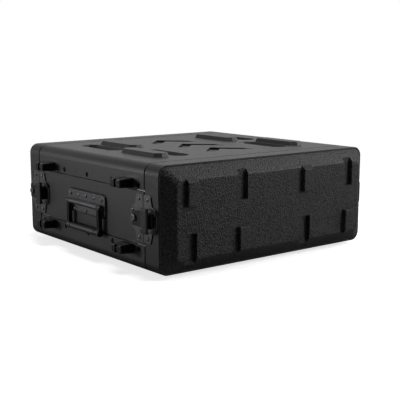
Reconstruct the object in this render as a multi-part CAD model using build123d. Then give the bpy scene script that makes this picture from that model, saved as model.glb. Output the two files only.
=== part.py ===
"""Moulded 19-inch equipment rack case, 3U, with lift-off front and rear covers.

Millimetres, +Z up, origin at the bottom centre. -Y is the front cover, +Y the rear cover.
The body is two moulded half shells joined by riveted side panels. Inside, four riveted rail
supports carry the rack rails, and an aluminium tongue frame lines each open end. Butterfly
latches cross both seams, and each side has a drop handle.
"""

from build123d import *
import os
from math import sqrt

# ---- driving sizes: the moulded case
CASE_WIDTH = 546.0
CASE_HEIGHT = 208.0
BODY_LENGTH = 414.0
WALL = 5.0
EDGE_RADIUS = 20.0
SEAM_CHAMFER = 1.2
SEAM_GAP = 1.8

# covers
RIM_DEPTH = 46.0
CROWN_DEPTH = 20.0
CROWN_INSET = 28.0
CROWN_GROOVE = 1.2
CROWN_GROOVE_INSET = 1.5
CROWN_FACE_RADIUS = 12.0
CROWN_FILLET = 7.0
RIB_WIDTH = 25.0
RIB_HEIGHT = 8.0
RIB_COLUMNS = (-212.0, -86.0, 86.0, 212.0)
RIB_INNER_END = 26.0
RIB_LEAN = 4.0
COVER_FOAM = 10.0

# stacking pads on the roof and, turned over, on the underside
PAD_HEIGHT = 8.0
PAD_LENGTH = 140.0
PAD_WIDTH = 40.0
PAD_CORNER = 13.0
PAD_DRAFT = 4.5
PAD_OUTER_X = 185.0
PAD_INNER_X = 135.0
PAD_Y = 82.0
CHEVRON_HALF = 52.0
CHEVRON_BAND = 34.0
CHEVRON_PITCH = 100.0
CHEVRON_APEX_Y = 138.0
CHEVRON_DEPTH = 4.5
DOUBLER = 4.0

# side panels and the rivet rows that hold them
PANEL_HALF_HEIGHT = 52.0
PANEL_THICKNESS = 3.0
PANEL_GAP = 2.4
FLANGE_WIDTH = 23.0
RIVET_ROW = 61.5
RIVET_PITCH = 94.0
RIVET_HEAD_RADIUS = 4.7
RIVET_SINK = 3.2
RIVET_HEAD = 1.4
RIVET_HEAD_EDGE = 0.8
RIVET_RADIUS = 2.4

# tongue frames and gaskets at the two open ends
FRAME_SLEEVE = 30.0
FRAME_LIP = 4.0
TONGUE_LENGTH = 8.0
TONGUE_INSET = 2.5
TONGUE_THICKNESS = 2.0
GASKET_LENGTH = 4.0
GASKET_CLEARANCE = 0.5

# rack hardware, EIA-310 pattern
RACK_UNITS = 3
RACK_UNIT = 44.45
HOLE_SPACING = 465.1
RACK_OPENING = 450.0
RACK_HOLE_RADIUS = 3.0
FIRST_HOLE = 6.35
MID_HOLE = 15.875
RAIL_THICKNESS = 2.5
RAIL_DEPTH = 30.0
RAIL_SETBACK = 27.0
SUPPORT_THICKNESS = 3.0
SUPPORT_LEG = 15.0
SUPPORT_END = 15.0
BOLT_RADIUS = 2.9
BOLT_HEAD_RADIUS = 5.0
BOLT_HEAD = 3.0

# side bumpers
BUMPER_Y = 153.0
BUMPER_LENGTH = 36.0
BUMPER_TALL = 19.0
BUMPER_PROUD = 30.0
BUMPER_DRAFT = 1.5
BUMPER_CORNER = 3.0
BUMPER_EDGE = 1.8
BUMPER_LOW = 54.0
BUMPER_SLOT = 8.0
BUMPER_SLOT_DEPTH = 5.0
SCREW_RADIUS = 2.1
SCREW_HEAD_RADIUS = 3.6
SCREW_HEAD = 2.5

# butterfly latches: q runs from the turning half to the keeper half, across the seam
PLATE = 2.5
PLATE_EDGE = 0.6
LATCH_HALF_TALL = 46.0
LATCH_SHOULDER = 25.0
LATCH_REACH = 43.0
LATCH_NOSE_HALF = 20.0
LATCH_PLATE_GAP = 0.8
INNER_RIVET_Q = 13.5
INNER_RIVET_DZ = 37.0
OUTER_RIVET_Q = 35.5
OUTER_RIVET_DZ = 13.0
ROTOR_Q = -21.0
ROTOR_RADIUS = 15.0
ROTOR_DISC = 4.4
ROTOR_STEM_RADIUS = 4.0
ROTOR_HUB_RADIUS = 5.5
HOOK_THICKNESS = 2.5
HOOK_HALF_TALL = 14.0
HOOK_TRAVEL = 6.0
POST_Q = 24.0
POST_RADIUS = 7.5
POST_PROUD = 11.0
YOKE = 2.0
WING_TALL = 48.0
WING_WIDE = 21.0
WING_TOP = 18.5
WING_THICKNESS = 2.6
WING_SKIRT = 3.0
WING_NOTCH_DZ = 14.0
WING_NOTCH = 3.5
WING_NOTCH_DEPTH = 8.0
WING_PIN_RADIUS = 1.5
KNUCKLE_RADIUS = 2.7
CLEAR = 0.3
RUNNING_FIT = 0.05

# dome rivets of the latches and handles
DOME_RADIUS = 4.0
DOME_HEIGHT = 1.9
DOME_SHANK = 2.0
TAIL_RADIUS = 3.4
TAIL_HEIGHT = 1.4
HOLE_CLEARANCE = 0.1

# drop handles
HANDLE_LENGTH = 147.0
HANDLE_TALL = 45.0
HANDLE_DZ = 2.5
HANDLE_CORNER = 10.0
SEAL = 1.5
SEAL_MARGIN = 2.5
HANDLE_PIVOT_DZ = 1.0
HANDLE_PIVOT_P = 9.3
BARREL_RADIUS = 5.5
AXLE_RADIUS = 3.0
AXLE_HEAD = 2.0
ARM_THICKNESS = 8.0
ARM_HALF_DEPTH = 4.8
BAIL_LENGTH = 128.0
BAIL_DROP = 52.0
GRIP_P = 9.8
GRIP_RADIUS = 7.2
GRIP_CORE_RADIUS = 4.0
GRIP_CLEARANCE = 0.3
HANDLE_TOP_ROW = ((-61.0, 16.0), (0.0, 16.0), (61.0, 16.0))
HANDLE_SMALL_ROW = ((-30.0, 16.0), (30.0, 16.0))
HANDLE_LOW_ROW = ((-46.0, -16.0), (0.0, -16.0), (46.0, -16.0))
SMALL_DOME_RADIUS = 3.0

# ---- places worked out from the sizes above
SIDE = CASE_WIDTH / 2
MID_Z = PAD_HEIGHT + CASE_HEIGHT / 2
SEAM = BODY_LENGTH / 2
RIM_PLANE = SEAM + RIM_DEPTH
FACE_PLANE = RIM_PLANE + CROWN_DEPTH
RECESS_FLOOR = FACE_PLANE - RIB_HEIGHT
LINER_FACE = SIDE - WALL - PANEL_THICKNESS
SUPPORT_FACE = LINER_FACE - SUPPORT_THICKNESS
RAIL_FACE = SEAM - RAIL_SETBACK
BAY_HALF = RACK_UNITS * RACK_UNIT / 2
RIVET_YS = [RIVET_PITCH * step for step in (-2, -1, 0, 1, 2)]
BUMPER_DZ = BUMPER_LOW + BUMPER_TALL / 2
ROTOR_TOP = PLATE + CLEAR + ROTOR_DISC
HOOK_LOW = ROTOR_TOP + CLEAR
YOKE_LOW = HOOK_LOW + HOOK_THICKNESS + CLEAR
WING_PIN_Q = ROTOR_Q - WING_WIDE / 2 + WING_PIN_RADIUS + 1.0
WING_PIN_P = YOKE_LOW + KNUCKLE_RADIUS

os.makedirs("parts", exist_ok=True)


def save(name, *solids):
    """Write one node: a solid, or a group of separate solids."""
    node = Compound(children=list(solids)) if len(solids) > 1 else solids[0]
    export_step(node, os.path.join("parts", name + ".step"))


def single(shape):
    """The one solid of a shape."""
    found = shape.solids()
    assert len(found) == 1, len(found)
    return found[0]


def box(x0, x1, y0, y1, z0, z1):
    return Pos((x0 + x1) / 2, (y0 + y1) / 2, (z0 + z1) / 2) * Box(x1 - x0, y1 - y0, z1 - z0)


def rod_x(x0, x1, y, z, radius):
    return Pos((x0 + x1) / 2, y, z) * Rot(0, 90, 0) * Cylinder(radius, x1 - x0)


def rod_y(y0, y1, x, z, radius):
    return Pos(x, (y0 + y1) / 2, z) * Rot(90, 0, 0) * Cylinder(radius, y1 - y0)


def rod_z(z0, z1, x, y, radius):
    return Pos(x, y, (z0 + z1) / 2) * Cylinder(radius, z1 - z0)


def along_y(outline, y0, y1, z=MID_Z):
    """An outline drawn in X and Z, run from y0 to y1."""
    return Pos(0, y1, z) * extrude(Plane.XZ * outline, y1 - y0)


def across_x(points, x0, x1):
    """A polygon given as (y, z) points, run from x0 to x1."""
    face = Plane.YZ * Polygon(*points, align=None)
    return Pos(x0, 0, 0) * extrude(face, x1 - x0, dir=(1, 0, 0))


def case_outline(inset):
    """The case's rounded rectangle, seen from the front, drawn in by inset."""
    return RectangleRounded(CASE_WIDTH - 2 * inset, CASE_HEIGHT - 2 * inset, EDGE_RADIUS - inset)


def case_ring(outer, inner, y0, y1):
    """A ring between two insets of the case's outline."""
    return along_y(case_outline(outer), y0, y1) - along_y(case_outline(inner), y0 - 1, y1 + 1)


def left_and_right(shape):
    """A right-hand solid and its mirror image on the left."""
    return single(shape), single(mirror(shape, Plane.YZ))


def side_holes(spots, radius):
    """Holes right across the case at (y, z) spots."""
    reach = SIDE + BUMPER_PROUD
    return [rod_x(-reach, reach, y, z, radius) for y, z in spots]


# ---- half shells: one moulding, turned over for the underside

def pad_outline(inset):
    """The octagonal plan of a stacking pad, drawn in by inset."""
    half_w = PAD_WIDTH / 2 - inset
    half_l = PAD_LENGTH / 2 - inset
    corner = PAD_CORNER - inset * (2 - sqrt(2))
    quarter = [(half_w, half_l - corner), (half_w - corner, half_l)]
    points = quarter + [(-x, y) for x, y in reversed(quarter)]
    points += [(-x, -y) for x, y in points]
    return Polygon(*points, align=None)


def pad_form(x, y, z, rise, inset):
    """A drafted pad from height z, rising or, where rise is negative, sinking."""
    foot = Pos(x, y, z) * pad_outline(inset)
    head = Pos(x, y, z + rise) * pad_outline(inset + PAD_DRAFT)
    return loft([foot, head], ruled=True)


def chevron(apex_y):
    """One shallow chevron of the roof, its point to the rear."""
    half, band = CHEVRON_HALF, CHEVRON_BAND
    points = [(-half, apex_y - half), (0, apex_y), (half, apex_y - half),
              (half, apex_y - half - band), (0, apex_y - band), (-half, apex_y - half - band)]
    floor = MID_Z + CASE_HEIGHT / 2 - CHEVRON_DEPTH
    return Pos(0, 0, floor) * extrude(Polygon(*points, align=None), CHEVRON_DEPTH + 1, dir=(0, 0, 1))


def body_block():
    """The body as if solid, with a light chamfer at both open ends."""
    block = along_y(case_outline(0), -SEAM, SEAM)
    ends = block.edges().filter_by_position(Axis.Y, -SEAM, -SEAM) + \
        block.edges().filter_by_position(Axis.Y, SEAM, SEAM)
    return chamfer(ends, SEAM_CHAMFER)


def rivet_spots(dz):
    return [(y, MID_Z + dz) for y in RIVET_YS]


def screw_spots(dz):
    return [(y, MID_Z + dz) for y in (-BUMPER_Y, BUMPER_Y)]


def half_shell():
    """The upper shell: roof, rounded shoulders and the two short skirts."""
    top = MID_Z + CASE_HEIGHT / 2
    under = top - WALL
    shell = body_block() - along_y(case_outline(WALL), -SEAM - 1, SEAM + 1)
    low = MID_Z + PANEL_HALF_HEIGHT + PANEL_GAP / 2
    shell &= box(-SIDE, SIDE, -SEAM, SEAM, low, top)
    first_chevron = CHEVRON_APEX_Y - 2 * CHEVRON_PITCH - CHEVRON_HALF - CHEVRON_BAND
    doubler = box(-CHEVRON_HALF - WALL, CHEVRON_HALF + WALL, first_chevron - WALL,
                  CHEVRON_APEX_Y + WALL, under - DOUBLER, under)
    shell += doubler
    for side in (-1, 1):
        raised = ((PAD_OUTER_X, -PAD_Y), (PAD_INNER_X, PAD_Y))
        sunk = ((PAD_OUTER_X, PAD_Y), (PAD_INNER_X, -PAD_Y))
        for x, y in raised:
            shell += pad_form(side * x, y, top, PAD_HEIGHT, 0)
            shell -= pad_form(side * x, y, under - 0.01, PAD_HEIGHT, WALL)
        for x, y in sunk:
            shell += pad_form(side * x, y, under, -PAD_HEIGHT, -WALL)
        for x, y in sunk:
            shell -= pad_form(side * x, y, top, -PAD_HEIGHT, 0)
    for step in range(3):
        shell -= chevron(CHEVRON_APEX_Y - step * CHEVRON_PITCH)
    for x in (-SIDE, SIDE):
        for y, z in rivet_spots(RIVET_ROW):
            shell -= rod_x(x - RIVET_SINK, x + RIVET_SINK, y, z, RIVET_HEAD_RADIUS + CLEAR)
    shell -= side_holes(rivet_spots(RIVET_ROW), RIVET_RADIUS + HOLE_CLEARANCE)
    shell -= side_holes(screw_spots(BUMPER_DZ), SCREW_RADIUS + HOLE_CLEARANCE)
    return single(shell)


def turned_over(shape):
    """The same piece turned over about the case's long middle line."""
    return Pos(0, 0, MID_Z) * Rot(180, 0, 0) * Pos(0, 0, -MID_Z) * shape


upper_shell = half_shell()
save("upper_shell", upper_shell)
save("lower_shell", single(turned_over(upper_shell)))


# ---- side panels, joggled behind the skirts of both shells

def latch_rivet_spots(seam_y, half):
    """Rivet places of one latch half: half is -1 for the turning half, 1 for the keeper."""
    spots = []
    for sign in (-1, 1):
        spots.append((seam_y + half * INNER_RIVET_Q, MID_Z + sign * INNER_RIVET_DZ))
        spots.append((seam_y + half * OUTER_RIVET_Q, MID_Z + sign * OUTER_RIVET_DZ))
    return spots


BODY_LATCH_SPOTS = latch_rivet_spots(-SEAM, 1) + latch_rivet_spots(SEAM, -1)
HANDLE_SPOTS = [(y, MID_Z + dz) for y, dz in HANDLE_TOP_ROW + HANDLE_SMALL_ROW + HANDLE_LOW_ROW]


def side_panel():
    edge = PANEL_HALF_HEIGHT - PANEL_GAP / 2
    flange_end = SEAM - FRAME_SLEEVE - 1.0
    panel = body_block() & box(SIDE - PANEL_THICKNESS, SIDE, -SEAM, SEAM, MID_Z - edge, MID_Z + edge)
    for sign in (-1, 1):
        near, far = sorted((sign * (edge - PANEL_THICKNESS), sign * edge))
        panel += box(LINER_FACE, SIDE - PANEL_THICKNESS, -flange_end, flange_end,
                     MID_Z + near, MID_Z + far)
        near, far = sorted((sign * (edge - PANEL_THICKNESS), sign * (edge + FLANGE_WIDTH)))
        panel += box(LINER_FACE, LINER_FACE + PANEL_THICKNESS, -flange_end, flange_end,
                     MID_Z + near, MID_Z + far)
        panel -= side_holes(rivet_spots(sign * RIVET_ROW), RIVET_RADIUS + HOLE_CLEARANCE)
        panel -= side_holes(screw_spots(sign * BUMPER_DZ), SCREW_RADIUS + HOLE_CLEARANCE)
    panel -= side_holes(BODY_LATCH_SPOTS + HANDLE_SPOTS, DOME_SHANK + HOLE_CLEARANCE)
    return single(panel)


panel_right, panel_left = left_and_right(side_panel())
save("side_panel_right", panel_right)
save("side_panel_left", panel_left)


# ---- tongue frames and gaskets

def end_frame():
    """Front frame: a sleeve inside the shells, a thicker lip and the tongue beyond the seam."""
    tongue = WALL + TONGUE_INSET
    frame = case_ring(WALL, WALL + PANEL_THICKNESS, -SEAM, -SEAM + FRAME_SLEEVE)
    frame += case_ring(WALL, tongue + TONGUE_THICKNESS, -SEAM, -SEAM + FRAME_LIP)
    frame += case_ring(tongue, tongue + TONGUE_THICKNESS, -SEAM - TONGUE_LENGTH, -SEAM)
    for sign in (-1, 1):
        frame -= side_holes(rivet_spots(sign * RIVET_ROW), RIVET_RADIUS + HOLE_CLEARANCE)
    frame -= side_holes(BODY_LATCH_SPOTS, DOME_SHANK + HOLE_CLEARANCE)
    return single(frame)


front_frame = end_frame()
gasket = single(case_ring(WALL + GASKET_CLEARANCE, WALL + TONGUE_INSET, -SEAM - GASKET_LENGTH, -SEAM))
save("front_end_frame", front_frame)
save("rear_end_frame", single(Rot(0, 0, 180) * front_frame))
save("front_gasket", gasket)
save("rear_gasket", single(Rot(0, 0, 180) * gasket))


# ---- rail supports, rack rails and their bolts

def rail_support():
    """Upper right support: a riveted plate with a stiffening leg along its upper edge."""
    length = SEAM - SUPPORT_END
    low, high = MID_Z + PANEL_HALF_HEIGHT, MID_Z + PANEL_HALF_HEIGHT + FLANGE_WIDTH
    support = box(SUPPORT_FACE, LINER_FACE, -length, length, low, high)
    support += box(SUPPORT_FACE - SUPPORT_LEG, LINER_FACE, -length, length,
                   high, high + SUPPORT_THICKNESS)
    support -= side_holes(rivet_spots(RIVET_ROW), RIVET_RADIUS + HOLE_CLEARANCE)
    support -= side_holes(screw_spots(BUMPER_DZ), SCREW_RADIUS + HOLE_CLEARANCE)
    support -= side_holes(bolt_spots(RIVET_ROW), BOLT_RADIUS + HOLE_CLEARANCE)
    return single(support)


def bolt_spots(dz):
    middle = RAIL_FACE - RAIL_DEPTH / 2 - RAIL_THICKNESS / 2
    return [(-middle, MID_Z + dz), (middle, MID_Z + dz)]


def rack_rail():
    """Front right rail: the punched face and the side flange bolted to the supports."""
    low, high = MID_Z - BAY_HALF, MID_Z + BAY_HALF
    rail = box(RACK_OPENING / 2, SUPPORT_FACE, -RAIL_FACE, -RAIL_FACE + RAIL_THICKNESS, low, high)
    rail += box(SUPPORT_FACE - RAIL_THICKNESS, SUPPORT_FACE, -RAIL_FACE, -RAIL_FACE + RAIL_DEPTH,
                low, high)
    for unit in range(RACK_UNITS):
        for step in range(3):
            z = low + unit * RACK_UNIT + FIRST_HOLE + step * MID_HOLE
            rail -= rod_y(-RAIL_FACE - 1, -RAIL_FACE + RAIL_THICKNESS + 1, HOLE_SPACING / 2, z,
                          RACK_HOLE_RADIUS)
    for sign in (-1, 1):
        rail -= side_holes(bolt_spots(sign * RIVET_ROW), BOLT_RADIUS + HOLE_CLEARANCE)
    return single(rail)


def rail_bolt(side, y, z):
    inner = SUPPORT_FACE - RAIL_THICKNESS
    bolt = rod_x(inner - BOLT_HEAD, inner, y, z, BOLT_HEAD_RADIUS)
    bolt = chamfer(bolt.edges().sort_by(Axis.X)[0], 0.8)
    bolt += rod_x(inner, LINER_FACE, y, z, BOLT_RADIUS)
    return single(bolt if side > 0 else mirror(bolt, Plane.YZ))


support_right, support_left = left_and_right(rail_support())
save("rail_support_upper_right", support_right)
save("rail_support_upper_left", support_left)
save("rail_support_lower_right", single(turned_over(support_right)))
save("rail_support_lower_left", single(turned_over(support_left)))
rail_right, rail_left = left_and_right(rack_rail())
save("front_rail_right", rail_right)
save("front_rail_left", rail_left)
save("rear_rail_left", single(Rot(0, 0, 180) * rail_right))
save("rear_rail_right", single(Rot(0, 0, 180) * rail_left))
save("rail_bolts", *[rail_bolt(side, y, z) for side in (-1, 1) for dz in (-RIVET_ROW, RIVET_ROW)
                     for y, z in bolt_spots(dz)])


# ---- sunk rivets along the skirts

def shell_rivet(side, y, z):
    """Head in its counterbore, shank through skirt, liner and support, and the set tail."""
    seat = SIDE - RIVET_SINK
    rivet = rod_x(seat, seat + RIVET_HEAD, y, z, RIVET_HEAD_RADIUS)
    rivet = fillet(rivet.edges().sort_by(Axis.X)[-1], RIVET_HEAD_EDGE)
    rivet += rod_x(SUPPORT_FACE, seat, y, z, RIVET_RADIUS)
    rivet += rod_x(SUPPORT_FACE - TAIL_HEIGHT, SUPPORT_FACE, y, z, TAIL_RADIUS)
    return single(rivet if side > 0 else mirror(rivet, Plane.YZ))


save("shell_rivets", *[shell_rivet(side, y, z) for side in (-1, 1)
                       for dz in (-RIVET_ROW, RIVET_ROW) for y, z in rivet_spots(dz)])


# ---- side bumpers and their screws

def bumper(y, z):
    """A thick moulded block with a draft towards its slotted outer face."""
    foot = Rectangle(BUMPER_LENGTH, BUMPER_TALL)
    head = Rectangle(BUMPER_LENGTH - 2 * BUMPER_DRAFT, BUMPER_TALL - 2 * BUMPER_DRAFT)
    block = Plane.YZ * loft([foot, Pos(0, 0, BUMPER_PROUD) * head], ruled=True)
    corners = block.edges().filter_by(lambda e: e.length > BUMPER_PROUD * 0.9 and
                                      abs(e.tangent_at(0.5).X) > 0.9)
    block = fillet(corners, BUMPER_CORNER)
    outer = block.faces().sort_by(Axis.X)[-1]
    block = fillet(outer.edges(), BUMPER_EDGE)
    floor = BUMPER_PROUD - BUMPER_SLOT_DEPTH
    block -= box(floor, BUMPER_PROUD + 1, -BUMPER_SLOT / 2, BUMPER_SLOT / 2,
                 -BUMPER_TALL, BUMPER_TALL)
    block -= rod_x(-1, BUMPER_PROUD, 0, 0, SCREW_RADIUS + HOLE_CLEARANCE)
    return Pos(SIDE, y, z) * block


def bumper_screw(y, z):
    floor = SIDE + BUMPER_PROUD - BUMPER_SLOT_DEPTH
    screw = rod_x(floor, floor + SCREW_HEAD, y, z, SCREW_HEAD_RADIUS)
    screw = fillet(screw.edges().sort_by(Axis.X)[-1], 1.2)
    screw -= rod_x(floor + SCREW_HEAD - 1.2, floor + SCREW_HEAD + 1, y, z, 1.4)
    screw += rod_x(SUPPORT_FACE + CLEAR, floor, y, z, SCREW_RADIUS)
    return screw


BUMPER_SPOTS = screw_spots(-BUMPER_DZ) + screw_spots(BUMPER_DZ)
bumpers = [left_and_right(bumper(y, z)) for y, z in BUMPER_SPOTS]
save("side_bumpers_right", *[pair[0] for pair in bumpers])
save("side_bumpers_left", *[pair[1] for pair in bumpers])
save("bumper_screws", *[s for y, z in BUMPER_SPOTS for s in left_and_right(bumper_screw(y, z))])


# ---- covers: smooth rim, crowned face with ribs and matching recesses, foam inside

def crown(inset, depth_shift):
    """The crowned form in front of the rim, drawn in by inset and set back by depth_shift."""
    base_inset = CROWN_GROOVE_INSET + CROWN_GROOVE + inset
    base = Pos(0, 0, -RIM_PLANE + CROWN_GROOVE + depth_shift) * case_outline(base_inset)
    face = RectangleRounded(CASE_WIDTH - 2 * (CROWN_INSET + inset),
                            CASE_HEIGHT - 2 * (CROWN_INSET + inset), CROWN_FACE_RADIUS)
    face = Pos(0, 0, -FACE_PLANE + depth_shift) * face
    form = loft([base, face], ruled=True)
    return Pos(0, 0, MID_Z) * Rot(-90, 0, 0) * form


def raised_ribs():
    """Upper raised, then lower raised, (column, sign of z)."""
    return [(RIB_COLUMNS[0], 1), (RIB_COLUMNS[2], 1), (RIB_COLUMNS[1], -1), (RIB_COLUMNS[3], -1)]


def sunk_ribs():
    return [(RIB_COLUMNS[1], 1), (RIB_COLUMNS[3], 1), (RIB_COLUMNS[0], -1), (RIB_COLUMNS[2], -1)]


def rib(x, sign):
    """A raised rib on the face, its outer end leaning onto the sloped shoulder."""
    face_edge = CASE_HEIGHT / 2 - CROWN_INSET
    slope = CROWN_DEPTH / (CROWN_INSET - CROWN_GROOVE_INSET - CROWN_GROOVE)
    foot = face_edge + RIB_LEAN
    foot_y = -FACE_PLANE + RIB_LEAN * slope
    points = [(-FACE_PLANE + 3, RIB_INNER_END), (-FACE_PLANE - RIB_HEIGHT, RIB_INNER_END),
              (-FACE_PLANE - RIB_HEIGHT, face_edge - RIB_LEAN), (foot_y, foot), (foot_y + 2, foot)]
    points = [(y, MID_Z + sign * z) for y, z in points]
    body = across_x(points, x - RIB_WIDTH / 2, x + RIB_WIDTH / 2)
    front = body.faces().sort_by(Axis.Y)[0]
    return fillet(front.edges(), 2.0)


def recess(x, sign, grow):
    """The recess cut, or its inner backing where grow is the wall."""
    inner, outer = sorted((sign * (RIB_INNER_END - grow), sign * (CASE_HEIGHT / 2)))
    half = RIB_WIDTH / 2 + grow
    front = -FACE_PLANE - 1
    return box(x - half, x + half, front, -RECESS_FLOOR + grow, MID_Z + inner, MID_Z + outer)


def cover():
    """Front cover."""
    mouth = -SEAM - SEAM_GAP
    rim = along_y(case_outline(0), -RIM_PLANE, mouth)
    rim = chamfer(rim.edges().filter_by_position(Axis.Y, mouth, mouth), SEAM_CHAMFER)
    rim = fillet(rim.edges().filter_by_position(Axis.Y, -RIM_PLANE, -RIM_PLANE), 1.2)
    groove = case_ring(CROWN_GROOVE_INSET, CROWN_GROOVE_INSET + CROWN_GROOVE + 0.01,
                       -RIM_PLANE - 1, -RIM_PLANE + CROWN_GROOVE)
    outer_crown = crown(0, 0)
    face_edges = outer_crown.faces().sort_by(Axis.Y)[0].edges()
    outer_crown = fillet(face_edges, CROWN_FILLET)
    body = (rim - groove) + outer_crown
    cavity = along_y(case_outline(WALL), -RIM_PLANE + WALL, mouth + 1)
    cavity += crown(WALL, WALL)
    for x, sign in sunk_ribs():
        cavity -= recess(x, sign, WALL)
    body -= cavity
    for x, sign in raised_ribs():
        body += rib(x, sign)
    for x, sign in sunk_ribs():
        body -= recess(x, sign, 0)
    body -= side_holes(latch_rivet_spots(-SEAM, -1), DOME_SHANK + HOLE_CLEARANCE)
    return single(body)


def cover_foam():
    """A foam sheet glued across the backs of the recesses."""
    back = -RECESS_FLOOR + WALL
    half_x = SIDE - CROWN_INSET - 3 * WALL
    half_z = CASE_HEIGHT / 2 - CROWN_INSET - 2 * WALL
    sheet = RectangleRounded(2 * half_x, 2 * half_z, CROWN_FACE_RADIUS)
    return single(along_y(sheet, back, back + COVER_FOAM))


front_cover = cover()
foam = cover_foam()
save("front_cover", front_cover)
save("rear_cover", single(Rot(0, 0, 180) * front_cover))
save("front_cover_foam", foam)
save("rear_cover_foam", single(Rot(0, 0, 180) * foam))


# ---- dome rivets

def dome_rivet(seat, tail, y, z, radius=DOME_RADIUS):
    """A rivet on the right side: dome from seat outwards, tail set against the inner face."""
    head = rod_x(seat, seat + DOME_HEIGHT, y, z, radius)
    head = fillet(head.edges().sort_by(Axis.X)[-1], DOME_HEIGHT * 0.8)
    head += rod_x(tail, seat, y, z, DOME_SHANK)
    return head + rod_x(tail - TAIL_HEIGHT, tail, y, z, TAIL_RADIUS)


def latch_rivets(seam_y, half, near_tail, far_tail):
    """Both sides' rivets of one latch half."""
    found = []
    for y, z in latch_rivet_spots(seam_y, half):
        near = abs(y - seam_y) < (INNER_RIVET_Q + OUTER_RIVET_Q) / 2
        rivet = dome_rivet(SIDE + PLATE, near_tail if near else far_tail, y, z)
        found += left_and_right(rivet)
    return found


panel_inside = SIDE - PANEL_THICKNESS
save("body_latch_rivets", *latch_rivets(-SEAM, 1, LINER_FACE, panel_inside),
     *latch_rivets(SEAM, -1, LINER_FACE, panel_inside))
save("front_cover_rivets", *latch_rivets(-SEAM, -1, SIDE - WALL, SIDE - WALL))
save("rear_cover_rivets", *latch_rivets(SEAM, 1, SIDE - WALL, SIDE - WALL))
handle_rivets = []
for row, radius in ((HANDLE_TOP_ROW + HANDLE_LOW_ROW, DOME_RADIUS), (HANDLE_SMALL_ROW, SMALL_DOME_RADIUS)):
    for y, dz in row:
        rivet = dome_rivet(SIDE + SEAL + PLATE, panel_inside, y, MID_Z + dz, radius)
        handle_rivets += left_and_right(rivet)
save("handle_rivets", *handle_rivets)


# ---- butterfly latches, drawn on the right side about the middle of their seam

def latch_plate(half):
    """A lobed base plate of one latch half, with its rivet holes."""
    points = [(LATCH_PLATE_GAP, LATCH_HALF_TALL), (LATCH_SHOULDER - 3, LATCH_HALF_TALL),
              (LATCH_SHOULDER, INNER_RIVET_DZ), (LATCH_SHOULDER + 3, LATCH_NOSE_HALF + 6),
              (LATCH_REACH - 6, LATCH_NOSE_HALF), (LATCH_REACH, LATCH_NOSE_HALF - 7)]
    points += [(q, -z) for q, z in reversed(points)]
    outline = Polygon(*[(half * q, z) for q, z in points], align=None)
    corners = outline.vertices().filter_by(lambda v: abs(v.X) > 2 * LATCH_PLATE_GAP)
    outline = fillet(corners, 3.5)
    plate = extrude(Plane.YZ * outline, PLATE, dir=(1, 0, 0))
    plate = fillet(plate.faces().sort_by(Axis.X)[-1].edges(), PLATE_EDGE)
    for sign in (-1, 1):
        for q, dz in ((INNER_RIVET_Q, INNER_RIVET_DZ), (OUTER_RIVET_Q, OUTER_RIVET_DZ)):
            plate -= rod_x(-1, PLATE + 1, half * q, sign * dz, DOME_SHANK + HOLE_CLEARANCE)
    return plate


def latch_base():
    plate = latch_plate(-1)
    return plate - rod_x(-1, PLATE + 1, ROTOR_Q, 0, ROTOR_STEM_RADIUS + RUNNING_FIT)


def latch_keeper():
    """The keeper plate with the round post that the hook's fork closes round."""
    post = rod_x(0, POST_PROUD, POST_Q, 0, POST_RADIUS)
    post = fillet(post.edges().sort_by(Axis.X)[-1], 2.5)
    shoulder = rod_x(0, PLATE + 1.5, POST_Q, 0, POST_RADIUS + 2)
    return latch_plate(1) + (shoulder + post)


def latch_rotor():
    """Stem, cam disc, hub and the yoke that carries the wing's knuckle."""
    rotor = rod_x(CLEAR, PLATE + CLEAR, ROTOR_Q, 0, ROTOR_STEM_RADIUS)
    rotor += rod_x(PLATE + CLEAR, ROTOR_TOP, ROTOR_Q, 0, ROTOR_RADIUS)
    rotor += rod_x(ROTOR_TOP, YOKE_LOW, ROTOR_Q, 0, ROTOR_HUB_RADIUS)
    yoke_front = WING_PIN_Q
    yoke_half = WING_TALL / 4
    rotor += box(YOKE_LOW, YOKE_LOW + YOKE, yoke_front, ROTOR_Q + WING_WIDE / 3, -yoke_half, yoke_half)
    rotor += rod_z(-yoke_half, yoke_half, WING_PIN_P, WING_PIN_Q, KNUCKLE_RADIUS)
    return rotor - rod_z(-WING_TALL, WING_TALL, WING_PIN_P, WING_PIN_Q, WING_PIN_RADIUS + RUNNING_FIT)


def latch_hook():
    """The draw bar: slotted round the hub, forked round the keeper's post."""
    rear = ROTOR_Q - ROTOR_HUB_RADIUS - HOOK_TRAVEL - 3.5
    nose = POST_Q + 4.0
    bar = box(HOOK_LOW, HOOK_LOW + HOOK_THICKNESS, rear, nose, -HOOK_HALF_TALL, HOOK_HALF_TALL)
    bar = fillet(bar.edges().filter_by(Axis.X), 4.0)
    slot_half = ROTOR_HUB_RADIUS + CLEAR
    slot = box(HOOK_LOW - 1, YOKE_LOW, ROTOR_Q - HOOK_TRAVEL, ROTOR_Q, -slot_half, slot_half)
    slot += rod_x(HOOK_LOW - 1, YOKE_LOW, ROTOR_Q, 0, slot_half)
    slot += rod_x(HOOK_LOW - 1, YOKE_LOW, ROTOR_Q - HOOK_TRAVEL, 0, slot_half)
    fork_half = POST_RADIUS + CLEAR
    mouth = POST_Q - HOOK_TRAVEL - 0.5
    fork = rod_x(HOOK_LOW - 1, YOKE_LOW, mouth, 0, fork_half)
    fork += box(HOOK_LOW - 1, YOKE_LOW, mouth, nose + 1, -fork_half, fork_half)
    return bar - slot - fork


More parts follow.
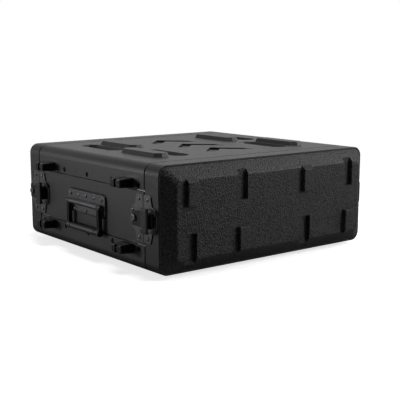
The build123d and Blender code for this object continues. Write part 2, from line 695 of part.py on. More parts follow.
def latch_wing():
    """The folding wing: a flat leaf with turned-down ends, on a pin through the knuckle."""
    low = YOKE_LOW + CLEAR
    front, back = ROTOR_Q - WING_WIDE / 2, ROTOR_Q + WING_WIDE / 2
    half = WING_TALL / 2
    leaf = box(low, WING_TOP, front, back, -half, half)
    leaf = fillet(leaf.edges().filter_by(Axis.X), 5.0)
    leaf = fillet(leaf.faces().sort_by(Axis.X)[-1].edges(), 1.5)
    inner = half - WING_SKIRT
    leaf -= box(low - 1, WING_TOP - WING_THICKNESS, front - 1, back + 1, -inner, inner)
    for dz in (-WING_NOTCH_DZ, WING_NOTCH_DZ):
        notch = box(low - 1, WING_TOP + 1, back - WING_NOTCH_DEPTH, back + 1,
                    dz - WING_NOTCH / 2, dz + WING_NOTCH / 2)
        leaf -= notch + rod_x(low - 1, WING_TOP + 1, back - WING_NOTCH_DEPTH, dz, WING_NOTCH / 2)
    return leaf + rod_z(-half + 1, half - 1, WING_PIN_P, WING_PIN_Q, WING_PIN_RADIUS)


LATCH_PIECES = {"base": latch_base(), "keeper": latch_keeper(), "rotor": latch_rotor(),
                "hook": latch_hook(), "wing": latch_wing()}
for end, seam_y in (("front", -SEAM), ("rear", SEAM)):
    for piece, shape in LATCH_PIECES.items():
        right, left = left_and_right(Pos(SIDE, seam_y, MID_Z) * shape)
        save(f"{end}_right_latch_{piece}", right)
        save(f"{end}_left_latch_{piece}", left)


# ---- drop handles, drawn on the right side about the middle of the panel

def handle_outline(margin):
    """The back plate's rounded outline, grown by margin."""
    outline = RectangleRounded(HANDLE_LENGTH + 2 * margin, HANDLE_TALL + 2 * margin,
                               HANDLE_CORNER + margin)
    return Pos(0, 0, HANDLE_DZ) * (Plane.YZ * outline)


def handle_holes(thickness):
    spots = HANDLE_TOP_ROW + HANDLE_SMALL_ROW + HANDLE_LOW_ROW
    return [rod_x(-1, thickness + 1, y, dz, DOME_SHANK + HOLE_CLEARANCE) for y, dz in spots]


def handle_seal():
    """The rubber seal under the back plate, showing as a narrow black border."""
    seal = extrude(handle_outline(SEAL_MARGIN), SEAL, dir=(1, 0, 0))
    seal = chamfer(seal.faces().sort_by(Axis.X)[-1].edges(), SEAL / 3)
    return seal - handle_holes(SEAL)


def handle_plate():
    """The riveted back plate with the barrel that the axle runs through."""
    plate = Pos(SEAL, 0, 0) * extrude(handle_outline(0), PLATE, dir=(1, 0, 0))
    plate = fillet(plate.faces().sort_by(Axis.X)[-1].edges(), PLATE_EDGE)
    half = BAIL_LENGTH / 2 - ARM_THICKNESS - GRIP_CLEARANCE
    plate += rod_y(-half, half, HANDLE_PIVOT_P, HANDLE_PIVOT_DZ, BARREL_RADIUS)
    plate += box(SEAL + PLATE, HANDLE_PIVOT_P, -half, half, HANDLE_PIVOT_DZ - BARREL_RADIUS * 0.8,
                 HANDLE_PIVOT_DZ + BARREL_RADIUS * 0.8)
    plate -= rod_y(-half - 1, half + 1, HANDLE_PIVOT_P, HANDLE_PIVOT_DZ, AXLE_RADIUS + RUNNING_FIT)
    return plate - handle_holes(SEAL + PLATE)


def handle_axle():
    """The axle, through both arms and the barrel, with an upset head outside each arm."""
    half = BAIL_LENGTH / 2 + CLEAR
    axle = rod_y(-half, half, HANDLE_PIVOT_P, HANDLE_PIVOT_DZ, AXLE_RADIUS)
    for sign in (-1, 1):
        y0, y1 = sorted((sign * half, sign * (half + AXLE_HEAD)))
        axle += rod_y(y0, y1, HANDLE_PIVOT_P, HANDLE_PIVOT_DZ, AXLE_RADIUS + 1.5)
    return axle


def handle_bail():
    """Two arms with rounded ends, joined by the grip's core."""
    outer, inner = BAIL_LENGTH / 2, BAIL_LENGTH / 2 - ARM_THICKNESS
    low = HANDLE_PIVOT_DZ - BAIL_DROP
    bail = rod_y(-outer + 1, outer - 1, GRIP_P, low, GRIP_CORE_RADIUS)
    for sign in (-1, 1):
        y0, y1 = sorted((sign * inner, sign * outer))
        arm = rod_y(y0, y1, HANDLE_PIVOT_P, HANDLE_PIVOT_DZ, ARM_HALF_DEPTH)
        arm += rod_y(y0, y1, GRIP_P, low, GRIP_RADIUS)
        arm += box(HANDLE_PIVOT_P - ARM_HALF_DEPTH, HANDLE_PIVOT_P + ARM_HALF_DEPTH, y0, y1,
                   low, HANDLE_PIVOT_DZ)
        bail += arm
        groove_y = sign * (inner + outer) / 2
        bail -= box(HANDLE_PIVOT_P + ARM_HALF_DEPTH - 1.2, HANDLE_PIVOT_P + 2 * ARM_HALF_DEPTH,
                    groove_y - 1.5, groove_y + 1.5, low + GRIP_RADIUS, HANDLE_PIVOT_DZ - ARM_HALF_DEPTH)
    bail -= rod_y(-outer - 1, outer + 1, HANDLE_PIVOT_P, HANDLE_PIVOT_DZ, AXLE_RADIUS + RUNNING_FIT)
    return bail


def handle_grip():
    """The moulded grip on the bail's core, waisted a little and collared at its ends."""
    half = BAIL_LENGTH / 2 - ARM_THICKNESS - GRIP_CLEARANCE
    low = HANDLE_PIVOT_DZ - BAIL_DROP
    grip = rod_y(-half, half, GRIP_P, low, GRIP_RADIUS)
    for sign in (-1, 1):
        y0, y1 = sorted((sign * (half - 9), sign * (half - 7)))
        ring = rod_y(y0, y1, GRIP_P, low, GRIP_RADIUS + 1)
        grip -= ring - rod_y(y0, y1, GRIP_P, low, GRIP_RADIUS - 0.8)
    return grip - rod_y(-half - 1, half + 1, GRIP_P, low, GRIP_CORE_RADIUS + RUNNING_FIT)


HANDLE_PIECES = {"seal": handle_seal(), "plate": handle_plate(), "axle": handle_axle(),
                 "bail": handle_bail(), "grip": handle_grip()}
for piece, shape in HANDLE_PIECES.items():
    right, left = left_and_right(Pos(SIDE, 0, MID_Z) * shape)
    save(f"right_handle_{piece}", right)
    save(f"left_handle_{piece}", left)
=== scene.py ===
import math

import bmesh
import bpy
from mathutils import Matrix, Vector


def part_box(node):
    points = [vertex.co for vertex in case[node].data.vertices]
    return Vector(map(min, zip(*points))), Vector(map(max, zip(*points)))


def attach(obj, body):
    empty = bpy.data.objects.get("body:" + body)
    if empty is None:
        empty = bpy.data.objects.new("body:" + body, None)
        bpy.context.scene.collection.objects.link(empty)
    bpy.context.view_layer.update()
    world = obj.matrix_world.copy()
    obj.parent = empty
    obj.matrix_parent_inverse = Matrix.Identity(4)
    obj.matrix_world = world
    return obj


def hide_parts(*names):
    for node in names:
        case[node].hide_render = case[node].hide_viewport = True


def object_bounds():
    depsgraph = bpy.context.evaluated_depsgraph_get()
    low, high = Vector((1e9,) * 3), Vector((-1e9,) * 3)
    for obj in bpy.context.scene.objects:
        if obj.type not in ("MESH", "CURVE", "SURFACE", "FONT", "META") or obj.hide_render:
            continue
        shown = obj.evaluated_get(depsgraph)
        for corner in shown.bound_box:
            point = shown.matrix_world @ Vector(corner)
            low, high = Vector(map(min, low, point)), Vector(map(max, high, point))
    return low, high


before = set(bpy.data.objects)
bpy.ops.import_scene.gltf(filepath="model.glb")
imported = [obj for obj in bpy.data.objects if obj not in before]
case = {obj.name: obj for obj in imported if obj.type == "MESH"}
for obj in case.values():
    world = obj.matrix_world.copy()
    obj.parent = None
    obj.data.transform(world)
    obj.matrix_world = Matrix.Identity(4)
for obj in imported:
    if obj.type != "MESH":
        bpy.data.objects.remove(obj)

cad_low, cad_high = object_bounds()


# ---------------------------------------------------------------------------------------------
# Finishes. Shader groups for grain (also painted light and shade on coarse pebbles), worn edges
# with a painted highlight, scuffs and dust, and the black and bare metal materials made from them.
# ---------------------------------------------------------------------------------------------

DUST_TONE, DUST_COVER = 0.09, 0.16
SCUFF_TONE, SCUFF_COVER = 0.07, 0.3
GLOSS_SPREAD = 0.07
RUBBED_GLOSS = 0.12
METAL_EDGE = 0.0006
DRAWN_ACROSS, DRAWN_ALONG, DRAWN_DEPTH = 2500.0, 30.0, 0.00002


def feed(tree, made, feeds):
    """Sets a node's inputs, each from a plain value or from another node's output."""
    for name, value in feeds.items():
        if isinstance(value, bpy.types.NodeSocket):
            tree.links.new(value, made.inputs[name])
        else:
            made.inputs[name].default_value = value


def add_node(tree, kind, feeds=None, **settings):
    """One shader node, with its inputs fed."""
    made = tree.nodes.new("ShaderNode" + kind)
    for name, value in settings.items():
        setattr(made, name, value)
    feed(tree, made, feeds or {})
    return made


def place_group(tree, group, feeds):
    """One copy of a shader group, with its own values."""
    made = tree.nodes.new("ShaderNodeGroup")
    made.node_tree = group
    feed(tree, made, feeds)
    return made


def mix_colours(tree, factor, first, second):
    """From the first colour at factor 0 to the second at 1."""
    return add_node(tree, "Mix", {"Factor": factor, 6: first, 7: second},
                    data_type="RGBA").outputs[2]


def mix_values(tree, factor, first, second):
    """From the first value at factor 0 to the second at 1."""
    return add_node(tree, "Mix", {"Factor": factor, 2: first, 3: second},
                    data_type="FLOAT").outputs[0]


def calculate(tree, operation, *values, clamp=False):
    return add_node(tree, "Math", dict(enumerate(values)), operation=operation,
                    use_clamp=clamp).outputs[0]


def ramp(tree, value, start, end, low=0.0, high=1.0, **settings):
    """Turns start to end into low to high, held level beyond both."""
    return add_node(tree, "MapRange", {"Value": value, "From Min": start, "From Max": end,
                                       "To Min": low, "To Max": high}, **settings).outputs[0]


def noise(tree, place, scale, detail=2.0, roughness=0.5):
    return add_node(tree, "TexNoise", {"Vector": place, "Scale": scale, "Detail": detail,
                                       "Roughness": roughness}).outputs[0]


def find_node(tree, kind):
    return next(node for node in tree.nodes if node.bl_idname == "ShaderNode" + kind)


def source(socket):
    """The output that feeds an input."""
    return socket.links[0].from_socket


def blank_material(name):
    material = bpy.data.materials.new(name)
    material.use_nodes = True
    material.node_tree.nodes.clear()
    return material, material.node_tree


def add_surface(tree, feeds):
    surface = add_node(tree, "BsdfPrincipled", feeds)
    add_node(tree, "OutputMaterial", {"Surface": surface.outputs[0]})


def add_piece(name, mesh):
    """An object from a bmesh, linked into the scene."""
    data = bpy.data.meshes.new(name)
    mesh.to_mesh(data)
    mesh.free()
    piece = bpy.data.objects.new(name, data)
    bpy.context.scene.collection.objects.link(piece)
    return piece


def new_group(name, inputs, outputs):
    """An empty shader group with named inputs, each with its usual value, and named outputs."""
    group = bpy.data.node_groups.new(name, "ShaderNodeTree")
    for label, value in inputs.items():
        kind = "NodeSocketVector" if value is None else "NodeSocketFloat"
        socket = group.interface.new_socket(label, in_out="INPUT", socket_type=kind)
        if value is not None:
            socket.default_value = value
    for label in outputs:
        group.interface.new_socket(label, in_out="OUTPUT", socket_type="NodeSocketFloat")
    return group, group.nodes.new("NodeGroupInput"), group.nodes.new("NodeGroupOutput")


def moulded_grain():
    """Pebbles of one cell size with fine noise between them, as a tool's etched face leaves."""
    group, given, out = new_group("moulded_grain", {"Place": None, "Cell": 0.001, "Fine": 0.3},
                                  ["Height", "Speckle_and_shade"])
    place = given.outputs["Place"]
    scale = calculate(group, "DIVIDE", 1.0, given.outputs["Cell"])
    cells = add_node(group, "TexVoronoi", {"Vector": place, "Scale": scale, "Smoothness": 0.6,
                                           "Randomness": 0.9}, feature="SMOOTH_F1")
    fine = noise(group, place, calculate(group, "MULTIPLY", scale, 2.3), 2.0, 0.6)
    dome = ramp(group, cells.outputs["Distance"], 0.1, 0.75, 1.0, 0.0)
    height = mix_values(group, given.outputs["Fine"], dome, fine)
    # Darker in hollows, lighter on domes: grain tone, and painted light and shade when spread wide.
    speckle_shade = ramp(group, height, 0.25, 0.75, interpolation_type="SMOOTHSTEP")
    feed(group, out, {"Height": height, "Speckle_and_shade": speckle_shade})
    return group


def worn_and_highlit_edges():
    """Outer edges for wear and a painted highlight, broken up to come and go along them."""
    group, given, out = new_group("worn_and_highlit_edges", {"Place": None, "Width": 0.0015, "Amount": 1.0},
                                  ["Mask"])
    soft = add_node(group, "Bevel", {"Radius": given.outputs["Width"]}, samples=4)
    true = add_node(group, "NewGeometry")
    flat = add_node(group, "VectorMath", {0: soft.outputs[0], 1: true.outputs["Normal"]},
                    operation="DOT_PRODUCT")
    edge = ramp(group, flat.outputs["Value"], 0.985, 0.86)
    broken = ramp(group, noise(group, given.outputs["Place"], 55.0, 5.0, 0.7), 0.42, 0.68)
    worn_and_highlit = calculate(group, "MULTIPLY", edge, broken)
    feed(group, out, {"Mask": calculate(group, "MULTIPLY", worn_and_highlit, given.outputs["Amount"],
                                        clamp=True)})
    return group


def handling_marks():
    """Long thin scuffs and a thin film of dust, each as its own mask."""
    group, given, out = new_group("handling_marks", {"Place": None, "Scuffs": 1.0, "Dust": 1.0},
                                  ["Scuffed", "Dusty"])
    slant = add_node(group, "Mapping", {"Vector": given.outputs["Place"],
                                        "Rotation": (0.35, 0.6, 0.9), "Scale": (14.0, 150.0, 40.0)})
    thin = ramp(group, noise(group, slant.outputs[0], 1.0, 3.0), 0.66, 0.74)
    film = ramp(group, noise(group, given.outputs["Place"], 9.0, 6.0, 0.65), 0.4, 0.8)
    feed(group, out, {
        "Scuffed": calculate(group, "MULTIPLY", thin, given.outputs["Scuffs"], clamp=True),
        "Dusty": calculate(group, "MULTIPLY", film, given.outputs["Dust"], clamp=True)})
    return group


GRAIN, EDGES, MARKS = moulded_grain(), worn_and_highlit_edges(), handling_marks()


def shade(value):
    """A nearly neutral grey with the slight blue of carbon black."""
    return (value, value, value * 1.05, 1.0)


def black_finish(name, dark, light, rough, cell, depth, fine=0.3, wear_and_highlight=0.5, scuffs=0.5, dust=0.5,
                 metallic=0.0, specular=0.5, edge=0.0012):
    """A black plastic or painted finish: dark to light is its colour's spread over the grain."""
    material, tree = blank_material(name)
    place = add_node(tree, "TexCoord").outputs["Object"]
    grain = place_group(tree, GRAIN, {"Place": place, "Cell": cell, "Fine": fine})
    edges = place_group(tree, EDGES, {"Place": place, "Width": edge, "Amount": wear_and_highlight})
    marks = place_group(tree, MARKS, {"Place": place, "Scuffs": scuffs, "Dust": dust})
    colour = mix_colours(tree, grain.outputs["Speckle_and_shade"], shade(dark), shade(light))
    # Edges lighter for wear and as a painted highlight.
    worn_and_highlit = mix_colours(tree, edges.outputs["Mask"], colour, shade(light * 2.2 + 0.02))
    dusty = calculate(tree, "MULTIPLY", marks.outputs["Dusty"], DUST_COVER)
    filmed = mix_colours(tree, dusty, worn_and_highlit, shade(DUST_TONE))
    scuffed = calculate(tree, "MULTIPLY", marks.outputs["Scuffed"], SCUFF_COVER)
    marked = mix_colours(tree, scuffed, filmed, shade(SCUFF_TONE))
    gloss = ramp(tree, grain.outputs["Speckle_and_shade"], 0.3, 0.7, rough - GLOSS_SPREAD,
                 rough + GLOSS_SPREAD)
    rubbed = calculate(tree, "MULTIPLY_ADD", edges.outputs["Mask"], -RUBBED_GLOSS, gloss)
    relief = add_node(tree, "Bump", {"Height": grain.outputs["Height"], "Strength": 1.0,
                                     "Distance": depth})
    add_surface(tree, {"Base Color": marked, "Roughness": rubbed,
                       "Normal": relief.outputs[0], "Metallic": metallic,
                       "Specular IOR Level": specular})
    return material


def drawn_metal(name, colour, rough, along, wear_and_highlight=0.3):
    """Bare or plated metal with fine lines from drawing, along one axis."""
    material, tree = blank_material(name)
    place = add_node(tree, "TexCoord").outputs["Object"]
    stretch = [DRAWN_ACROSS] * 3
    stretch["xyz".index(along)] = DRAWN_ALONG
    lines = add_node(tree, "Mapping", {"Vector": place, "Scale": tuple(stretch)})
    drawn = noise(tree, lines.outputs[0], 1.0)
    tarnish = noise(tree, place, 35.0, 5.0)
    edges = place_group(tree, EDGES, {"Place": place, "Width": METAL_EDGE, "Amount": wear_and_highlight})
    tone = mix_colours(tree, tarnish, (*[part * 0.72 for part in colour], 1.0), (*colour, 1.0))
    # Edges brighter for wear and as a painted highlight.
    bright = mix_colours(tree, edges.outputs["Mask"], tone,
                         (*[min(1.0, part * 1.4) for part in colour], 1.0))
    gloss = ramp(tree, tarnish, 0.0, 1.0, rough - 0.08, rough + 0.1)
    relief = add_node(tree, "Bump", {"Height": drawn, "Distance": DRAWN_DEPTH})
    add_surface(tree, {"Base Color": bright, "Metallic": 1.0, "Roughness": gloss,
                       "Normal": relief.outputs[0]})
    return material


def wear_on(material, *names):
    """Puts a finish on CAD nodes in place of the plain one that they came with."""
    for name in names:
        mesh = case[name].data
        mesh.materials.clear()
        mesh.materials.append(material)


# ---------------------------------------------------------------------------------------------
# Half shells. Two thick mouldings in black polyethylene, one turned over to make the underside.
# The tool leaves a fine matt grain; edges shine and lighten where hands rub them, which also
# paints a highlight on them, and the roof is scuffed where cases slide over one another.
# ---------------------------------------------------------------------------------------------

SHELL_DARK, SHELL_LIGHT = 0.010, 0.022
RIVET_PITCH = 0.094
RIVET_ROW = 0.0615
COUNTERBORE = 0.0051
# Painted shade in the counterbores: its colour, its roughness and the width of its fading rim.
COUNTERBORE_SHADE_TONE, COUNTERBORE_SHADE_ROUGH = 0.001, 0.95
COUNTERBORE_SHADE_EDGE = 0.0002


def paint_counterbore_shade(material):
    """Painted shade: the counterbore round each sunk rivet is coloured very dark and left dull."""
    tree = material.node_tree
    place = find_node(tree, "TexCoord").outputs["Object"]
    middle = (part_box("upper_shell")[1].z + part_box("lower_shell")[0].z) / 2
    spot = add_node(tree, "SeparateXYZ", {0: place})
    along = calculate(tree, "WRAP", spot.outputs[1], -RIVET_PITCH / 2, RIVET_PITCH / 2)
    height = calculate(tree, "SUBTRACT", spot.outputs[2], middle)
    off = calculate(tree, "SUBTRACT", calculate(tree, "ABSOLUTE", height), RIVET_ROW)
    flat = add_node(tree, "CombineXYZ", {0: along, 1: off})
    radius = add_node(tree, "VectorMath", {0: flat.outputs[0]}, operation="LENGTH")
    # Painted shade inside each counterbore, fading out at its rim.
    counterbore_shade = ramp(tree, radius.outputs["Value"], COUNTERBORE, COUNTERBORE + COUNTERBORE_SHADE_EDGE, 1.0, 0.0)
    surface = find_node(tree, "BsdfPrincipled")
    colour, rough = source(surface.inputs["Base Color"]), source(surface.inputs["Roughness"])
    feed(tree, surface, {
        "Base Color": mix_colours(tree, counterbore_shade, colour, shade(COUNTERBORE_SHADE_TONE)),
        "Roughness": mix_values(tree, counterbore_shade, rough, COUNTERBORE_SHADE_ROUGH)})


shell_black = black_finish("shell_black", dark=SHELL_DARK, light=SHELL_LIGHT, rough=0.5,
                           cell=0.0013, depth=0.00012, fine=0.6, dust=0.6)
paint_counterbore_shade(shell_black)
wear_on(shell_black, "upper_shell", "lower_shell")


# ---------------------------------------------------------------------------------------------
# Side panels. Flat black laminate let in between the shells, held by the sunk rivets through
# both skirts. Smoother than the shells, with the same fine seams above and below.
# ---------------------------------------------------------------------------------------------

panel_black = black_finish("panel_black", dark=0.013, light=0.018, rough=0.46, cell=0.0008,
                           depth=0.00003, fine=0.8, wear_and_highlight=0.4, scuffs=0.7)
wear_on(panel_black, "side_panel_left", "side_panel_right")


# ---------------------------------------------------------------------------------------------
# Covers. Moulded lids with a smooth rim and a crowned face in coarse pebble grain. A narrow
# step parts the two finishes; ribs and recesses lock onto the next case.
# ---------------------------------------------------------------------------------------------

RIM_PLANE = 0.253
PEBBLE = 0.0030
PEBBLE_DEPTH = 0.0010
RIM_GRAIN = 0.0011
RIM_RELIEF = 0.12


def cover_finish():
    """The shells' black on the rim, and coarse pebbles from the step forwards."""
    # Wide dark-to-light spread: painted light and shade on the pebbles, besides their tone.
    material = black_finish("cover_black", dark=0.001, light=0.046, rough=0.5, cell=PEBBLE,
                            depth=PEBBLE_DEPTH, fine=0.35, wear_and_highlight=0.4, scuffs=0.4, dust=0.4,
                            specular=0.4)
    tree = material.node_tree
    place = find_node(tree, "TexCoord").outputs["Object"]
    spot = add_node(tree, "SeparateXYZ", {0: place})
    ahead = calculate(tree, "ABSOLUTE", spot.outputs[1])
    crowned = ramp(tree, ahead, RIM_PLANE - 0.0004, RIM_PLANE + 0.0002)
    smooth = place_group(tree, GRAIN, {"Place": place, "Cell": RIM_GRAIN, "Fine": 0.6})
    faint = calculate(tree, "MULTIPLY", smooth.outputs["Height"], RIM_RELIEF)
    relief, surface = find_node(tree, "Bump"), find_node(tree, "BsdfPrincipled")
    pebbles, colour = source(relief.inputs["Height"]), source(surface.inputs["Base Color"])
    rim = mix_colours(tree, smooth.outputs["Speckle_and_shade"], shade(SHELL_DARK), shade(SHELL_LIGHT))
    feed(tree, relief, {"Height": mix_values(tree, crowned, faint, pebbles)})
    feed(tree, surface, {"Base Color": mix_colours(tree, crowned, rim, colour)})
    return material


wear_on(cover_finish(), "front_cover", "rear_cover")


# ---------------------------------------------------------------------------------------------
# Cover foam. A sheet of charcoal egg-crate foam glued across the backs of the recesses. Its
# peaks face the equipment and keep knobs and leads from rattling.
# ---------------------------------------------------------------------------------------------

FOAM_PITCH = 0.020
FOAM_SWELL = 0.0028
FOAM_STEPS = 6
FOAM_INSET = 0.0012
FOAM_PIT_SHADE, FOAM_SKIN, FOAM_FADED = (0.012, 0.012, 0.013), (0.06, 0.06, 0.064), (0.045, 0.045, 0.05)


def foam_finish():
    """Charcoal foam with open cells, their pits painted darker as shade, faded in patches."""
    material, tree = blank_material("open_cell_foam")
    place = add_node(tree, "TexCoord").outputs["Object"]
    cells = add_node(tree, "TexVoronoi", {"Vector": place, "Scale": 900.0}, feature="F1")
    cloud = noise(tree, place, 60.0, 4.0)
    holes = ramp(tree, cells.outputs["Distance"], 0.05, 0.5)
    # Painted shade in the open cells' pits.
    colour = mix_colours(tree, holes, (*FOAM_PIT_SHADE, 1.0), (*FOAM_SKIN, 1.0))
    tone = mix_colours(tree, cloud, colour, (*FOAM_FADED, 1.0))
    relief = add_node(tree, "Bump", {"Height": holes, "Distance": 0.0004})
    add_surface(tree, {"Base Color": tone, "Roughness": ramp(tree, cloud, 0.0, 1.0, 0.86, 0.98),
                       "Normal": relief.outputs[0], "Sheen Weight": 0.25, "Sheen Roughness": 0.6,
                       "Specular IOR Level": 0.2})
    return material


def egg_crate(name, cad_name, inward):
    """A closed foam sheet in the place of a CAD one; inward is the side that its peaks face."""
    low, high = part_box(cad_name)
    back = low.y if inward > 0 else high.y
    thick = high.y - low.y
    columns = round((high.x - low.x) / FOAM_PITCH) * FOAM_STEPS
    rows = round((high.z - low.z) / FOAM_PITCH) * FOAM_STEPS
    mesh = bmesh.new()
    layers = []
    for layer in range(2):
        grid = []
        for row in range(rows + 1):
            v = row / rows
            line = []
            for column in range(columns + 1):
                u = column / columns
                across = math.sin(math.pi * (u * columns / FOAM_STEPS))
                rise = across * math.sin(math.pi * (v * rows / FOAM_STEPS))
                border = min(u * columns, (1 - u) * columns, v * rows, (1 - v) * rows) / FOAM_STEPS
                top = thick - FOAM_SWELL + FOAM_SWELL * rise * min(1.0, border)
                corner = max(0.0, 1.0 - border) * FOAM_INSET
                depth = top if layer else 0.0
                x = low.x + corner + u * (high.x - low.x - 2 * corner)
                z = low.z + corner + v * (high.z - low.z - 2 * corner)
                line.append(mesh.verts.new((x, back + inward * depth, z)))
            grid.append(line)
        layers.append(grid)
    for grid in layers:
        for row in range(rows):
            for column in range(columns):
                mesh.faces.new((grid[row][column], grid[row][column + 1],
                                grid[row + 1][column + 1], grid[row + 1][column]))
    edge = [(0, c) for c in range(columns)] + [(r, columns) for r in range(rows)]
    edge += [(rows, c) for c in range(columns, 0, -1)] + [(r, 0) for r in range(rows, 0, -1)]
    for here, there in zip(edge, edge[1:] + edge[:1]):
        mesh.faces.new((layers[0][here[0]][here[1]], layers[0][there[0]][there[1]],
                        layers[1][there[0]][there[1]], layers[1][here[0]][here[1]]))
    bmesh.ops.recalc_face_normals(mesh, faces=mesh.faces)
    piece = add_piece(name, mesh)
    for face in piece.data.polygons:
        face.use_smooth = True
    return piece


foam_black = foam_finish()
for cover, inward in (("front_cover", 1), ("rear_cover", -1)):
    sheet = egg_crate(cover + "_egg_crate", cover + "_foam", inward)
    sheet.data.materials.append(foam_black)
    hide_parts(cover + "_foam")
    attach(sheet, cover)


# ---------------------------------------------------------------------------------------------
# Tongue frames and gaskets. Extruded aluminium rings, mitred and bent round the corners, line
# both open ends; a soft rubber cord lies round each tongue.
# ---------------------------------------------------------------------------------------------

frame_metal = drawn_metal("frame_aluminium", (0.62, 0.62, 0.63), 0.38, "x")
gasket_rubber = black_finish("gasket_rubber", dark=0.004, light=0.008, rough=0.72, cell=0.0006,
                             depth=0.00006, fine=0.7, wear_and_highlight=0.0, scuffs=0.0, dust=0.4,
                             specular=0.35)
wear_on(frame_metal, "front_end_frame", "rear_end_frame")
wear_on(gasket_rubber, "front_gasket", "rear_gasket", "left_handle_seal", "right_handle_seal")


# ---------------------------------------------------------------------------------------------
# Rack rails, their supports and bolts. Folded steel in black powder coat, punched to the rack
# pattern; the bolts are dark zinc and were tightened after painting.
# ---------------------------------------------------------------------------------------------

powder_black = black_finish("powder_black", dark=0.018, light=0.032, rough=0.42, cell=0.0007,
                            depth=0.00006, fine=0.5, wear_and_highlight=0.8, dust=0.3, edge=0.0005)
zinc = drawn_metal("dark_zinc", (0.16, 0.16, 0.17), 0.36, "z", wear_and_highlight=0.8)
for end in ("front", "rear"):
    wear_on(powder_black, f"{end}_rail_left", f"{end}_rail_right")
for row in ("upper", "lower"):
    wear_on(powder_black, f"rail_support_{row}_left", f"rail_support_{row}_right")
wear_on(zinc, "rail_bolts", "bumper_screws", "left_handle_axle", "right_handle_axle")


# ---------------------------------------------------------------------------------------------
# Sunk rivets. Black steel rivets set below the skirts' face in round counterbores, ten on each
# side, so that nothing catches on them.
# ---------------------------------------------------------------------------------------------

# Near black and dull: the rivets' black steel, darkened further as painted shade in the
# counterbores.
sunk_black_and_shade = black_finish("sunk_black_and_shade", dark=0.001, light=0.003, rough=0.6, cell=0.0007,
                          depth=0.00003, wear_and_highlight=0.05, scuffs=0.0, dust=0.0, specular=0.12)
wear_on(sunk_black_and_shade, "shell_rivets")


# ---------------------------------------------------------------------------------------------
# Side bumpers. Eight injection-moulded blocks in glossy black, each with a slot for its screw,
# keep the latches and handles clear of a wall. Their outer faces are the first to be rubbed.
# ---------------------------------------------------------------------------------------------

bumper_black = black_finish("bumper_black", dark=0.002, light=0.003, rough=0.22, cell=0.0016,
                            depth=0.00001, fine=0.9, wear_and_highlight=0.6, scuffs=0.15, dust=0.1)
wear_on(bumper_black, "side_bumpers_left", "side_bumpers_right")


# ---------------------------------------------------------------------------------------------
# Butterfly latches and their rivets. Pressed steel plates in black electro-coat on both sides
# of each seam; the cam disc, hook and folding wing work between them.
# ---------------------------------------------------------------------------------------------

coat_black = black_finish("coat_black", dark=0.085, light=0.14, rough=0.36, cell=0.0012,
                          depth=0.00004, fine=0.6, wear_and_highlight=0.9, dust=0.2, metallic=0.8,
                          specular=0.6, edge=0.0007)
# Near black: oiled steel, darkened further as painted shade for the space under the wing.
oiled_black_and_shade = black_finish("oiled_black_and_shade", dark=0.002, light=0.004, rough=0.5, cell=0.0009,
                           depth=0.00003, fine=0.7, scuffs=0.3, dust=0.0, specular=0.25,
                           edge=0.0004)
bar_black = black_finish("bar_black", dark=0.008, light=0.014, rough=0.3, cell=0.0010,
                         depth=0.00003, fine=0.7, wear_and_highlight=0.8, scuffs=0.4, dust=0.2,
                         specular=0.6, edge=0.0006)
rivet_black = black_finish("rivet_black", dark=0.12, light=0.20, rough=0.26, cell=0.0009,
                           depth=0.00002, fine=0.8, wear_and_highlight=0.9, scuffs=0.2, dust=0.0,
                           metallic=0.9, specular=0.6, edge=0.0009)
for end in ("front", "rear"):
    for side in ("left", "right"):
        latch = f"{end}_{side}_latch_"
        wear_on(coat_black, latch + "base", latch + "keeper")
        wear_on(bar_black, latch + "wing")
        wear_on(oiled_black_and_shade, latch + "rotor", latch + "hook")
wear_on(rivet_black, "body_latch_rivets", "front_cover_rivets", "rear_cover_rivets")


# ---------------------------------------------------------------------------------------------
# Drop handles. A riveted steel back plate carries the axle; the bail hangs from it and its
# moulded grip turns in the hand.
# ---------------------------------------------------------------------------------------------

grip_black = black_finish("grip_black", dark=0.008, light=0.014, rough=0.48, cell=0.0012,
                          depth=0.00008, fine=0.5, wear_and_highlight=0.3, scuffs=0.3, dust=0.3)
for side in ("left", "right"):
    wear_on(coat_black, f"{side}_handle_plate")
    wear_on(bar_black, f"{side}_handle_bail")
    wear_on(grip_black, f"{side}_handle_grip")
wear_on(rivet_black, "handle_rivets")


# ---------------------------------------------------------------------------------------------
# Studio. A pale floor under a white sweep. Four soft lamps, one overhead, one low behind on the
# left and two in front on the right, and the camera low off the front left corner.
# ---------------------------------------------------------------------------------------------

FLOOR_RADIUS = 3.2
FLOOR_FULL, FLOOR_GONE = 0.6, 1.7
FLOOR_GLOW = 0.72
BRIGHT_SIDE = (0.6, 0.78, -0.35)
BOUNCE_GREY = (0.3, 0.3, 0.3, 1.0)
WHITE = (1.0, 1.0, 1.0, 1.0)


def studio_floor():
    """A round white floor, full near the case and fading into the sweep behind it."""
    mesh = bmesh.new()
    bmesh.ops.create_circle(mesh, cap_ends=True, segments=96, radius=FLOOR_RADIUS)
    floor = add_piece("studio_floor", mesh)
    material = bpy.data.materials.new("pale_floor")
    material.use_nodes = True
    tree = material.node_tree
    place = add_node(tree, "TexCoord").outputs["Object"]
    radius = add_node(tree, "VectorMath", {0: place}, operation="LENGTH")
    fade = ramp(tree, radius.outputs["Value"], FLOOR_FULL, FLOOR_GONE, 1.0, 0.0,
                interpolation_type="SMOOTHSTEP")
    tone = mix_colours(tree, noise(tree, place, 3.0), (0.88, 0.88, 0.88, 1.0),
                       (0.9, 0.9, 0.9, 1.0))
    surface = tree.nodes["Principled BSDF"]
    feed(tree, surface, {"Base Color": tone, "Alpha": fade, "Roughness": 0.8,
                         "Emission Color": WHITE, "Emission Strength": FLOOR_GLOW,
                         "Specular IOR Level": 0.1})
    dim = add_node(tree, "BsdfDiffuse", {"Color": BOUNCE_GREY})
    ray = add_node(tree, "LightPath")
    mixed = add_node(tree, "MixShader", {0: ray.outputs["Is Camera Ray"], 1: dim.outputs[0],
                                         2: surface.outputs[0]})
    feed(tree, tree.nodes["Material Output"], {"Surface": mixed.outputs[0]})
    floor.data.materials.append(material)


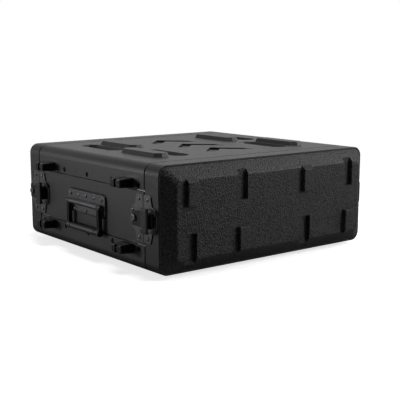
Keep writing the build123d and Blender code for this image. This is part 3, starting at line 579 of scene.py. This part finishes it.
def soft_light(name, place, target, width, height, watts):
    """A rectangular lamp aimed at target, which the camera doesn't see."""
    data = bpy.data.lights.new(name, "AREA")
    data.shape = "RECTANGLE"
    data.size, data.size_y = width, height
    data.energy = watts
    lamp = bpy.data.objects.new(name, data)
    lamp.location = place
    lamp.visible_camera = False
    lamp.rotation_euler = (Vector(target) - Vector(place)).to_track_quat("-Z", "Y").to_euler()
    bpy.context.scene.collection.objects.link(lamp)


studio_floor()
middle = (cad_low + cad_high) / 2
soft_light("overhead", (-0.20, -0.25, 2.1), middle, 0.6, 0.6, 15.0)
soft_light("low_left", (-2.3, 1.6, 0.45), middle, 0.7, 0.7, 20.0)
soft_light("key", (1.6, -1.4, 1.5), middle, 0.5, 0.5, 22.0)
soft_light("low_front", (1.6, -2.0, 0.55), middle, 0.8, 0.6, 9.0)

world = bpy.data.worlds.new("white_sweep")
world.use_nodes = True
tree = world.node_tree
tree.nodes.clear()
toward = add_node(tree, "TexCoord").outputs["Generated"]
lean = add_node(tree, "VectorMath", {0: toward, 1: BRIGHT_SIDE}, operation="DOT_PRODUCT")
level = ramp(tree, lean.outputs["Value"], -0.1, 1.0, 0.02, 1.0)
lit = add_node(tree, "Background", {"Color": WHITE, "Strength": level})
seen = add_node(tree, "Background", {"Color": WHITE, "Strength": 1.0})
ray = add_node(tree, "LightPath")
sweep = add_node(tree, "MixShader", {0: ray.outputs["Is Camera Ray"], 1: lit.outputs[0],
                                     2: seen.outputs[0]})
add_node(tree, "OutputWorld", {"Surface": sweep.outputs[0]})
bpy.context.scene.world = world
bpy.context.scene.view_settings.view_transform = "Standard"

YAW, DOWN = math.radians(38.05), math.radians(9.67)
FOCAL_LENGTH, SENSOR_WIDTH = 75.31, 36.0
CAMERA_PLACE = (-1.1383, -1.4814, 0.4095)
lens = bpy.data.cameras.new("camera")
lens.lens, lens.sensor_width = FOCAL_LENGTH, SENSOR_WIDTH
camera = bpy.data.objects.new("camera", lens)
camera.location = CAMERA_PLACE
camera.rotation_euler = (math.radians(90) - DOWN, 0.0, -YAW)
bpy.context.scene.collection.objects.link(camera)
bpy.context.scene.camera = camera
